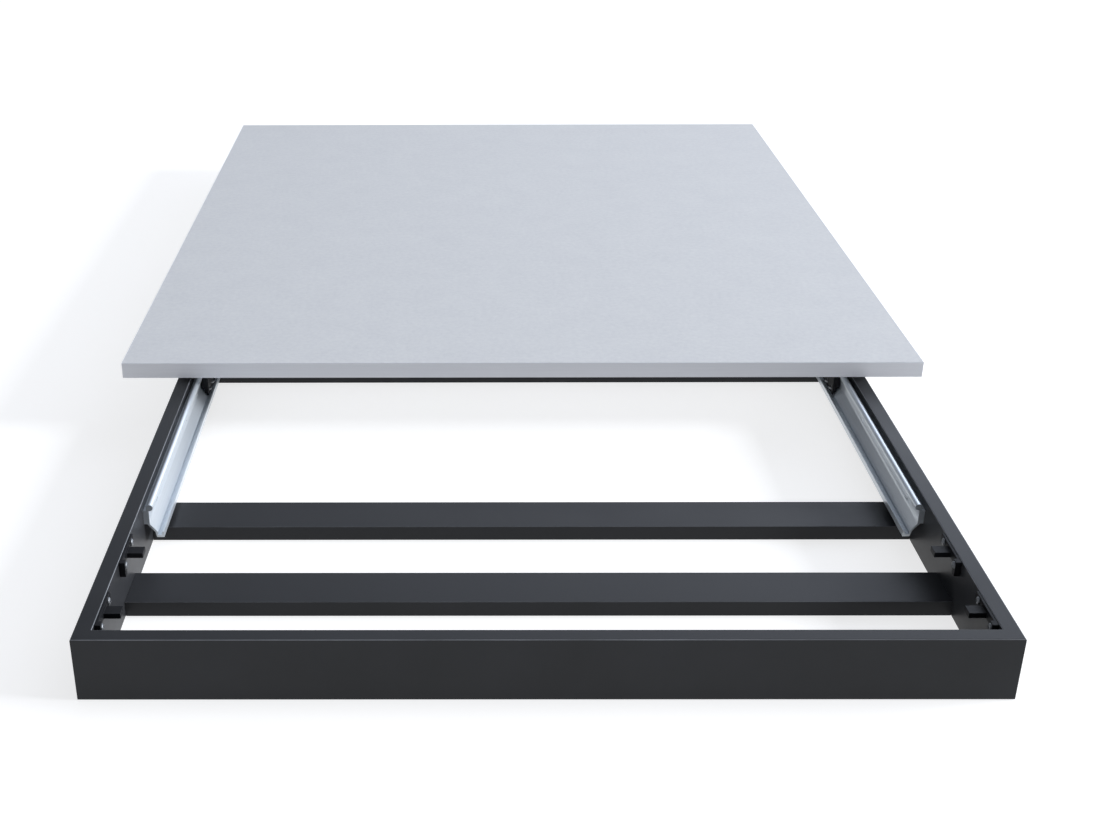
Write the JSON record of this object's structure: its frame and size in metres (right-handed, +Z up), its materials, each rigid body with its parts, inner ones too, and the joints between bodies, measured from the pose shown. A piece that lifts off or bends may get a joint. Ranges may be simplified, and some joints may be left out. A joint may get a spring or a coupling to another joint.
{
  "type": "extending table top on frame",
  "caption": "Rectangular laminate table top sliding along a low mitred steel tube frame with cross bars, aluminium guides and corner plates for legs.",
  "frame": {"origin": "centre of the bounding box's footprint in the rest pose, on the underside of the frame", "axes": "+X to the right seen from the open front, +Y from the open front to the back, the way the top slides open, +Z up"},
  "size_m": [0.9, 1.5526, 0.083],
  "materials": {
    "powder_coated_steel": "fine satin powder coat, anthracite",
    "aluminium": "drawn, clear anodised",
    "black_steel": "black coated, formed strip",
    "black_nylon": "moulded",
    "zinc_plated_steel": "bright zinc plating",
    "grey_laminate": "pale blue-grey laminate, fine matt texture",
    "backing_laminate": "plain backing laminate",
    "grey_edge_band": "matt edge band to match the laminate",
    "particle_board": "raw particle board, hidden"
  },
  "bodies": {
    "frame": {"front_apron": "powder_coated_steel", "rear_apron": "powder_coated_steel", "left_rail": "powder_coated_steel", "right_rail": "powder_coated_steel", "first_cross_bar": "powder_coated_steel", "second_cross_bar": "powder_coated_steel", "third_cross_bar": "powder_coated_steel", "fourth_cross_bar": "powder_coated_steel", "left_front_leg_plate": "powder_coated_steel", "left_rear_leg_plate": "powder_coated_steel", "right_front_leg_plate": "powder_coated_steel", "right_rear_leg_plate": "powder_coated_steel", "left_guide": "aluminium", "right_guide": "aluminium", "guide_rivets": "aluminium", "left_front_clip": "black_nylon", "left_rear_clip": "black_nylon", "right_front_clip": "black_nylon", "right_rear_clip": "black_nylon", "rear_wear_pads": "black_nylon", "clip_screws": "zinc_plated_steel"},
    "top": {"left_slide": "aluminium", "right_slide": "aluminium", "left_front_bracket": "black_steel", "left_rear_bracket": "black_steel", "right_front_bracket": "black_steel", "right_rear_bracket": "black_steel", "left_front_shoe": "black_nylon", "left_rear_shoe": "black_nylon", "right_front_shoe": "black_nylon", "right_rear_shoe": "black_nylon", "board_wear_pads": "black_nylon", "shoe_screws": "zinc_plated_steel", "slide_bracket_screws": "zinc_plated_steel", "board_screws": "zinc_plated_steel", "top_laminate": "grey_laminate", "backing_laminate": "backing_laminate", "front_edge_band": "grey_edge_band", "rear_edge_band": "grey_edge_band", "left_edge_band": "grey_edge_band", "right_edge_band": "grey_edge_band", "board_core": "particle_board"}
  },
  "joints": [
    {"name": "top_slide", "type": "slide", "parent": "frame", "child": "top", "axis": [0, 1, 0], "range_m": [-0.5225, 0]}
  ]
}
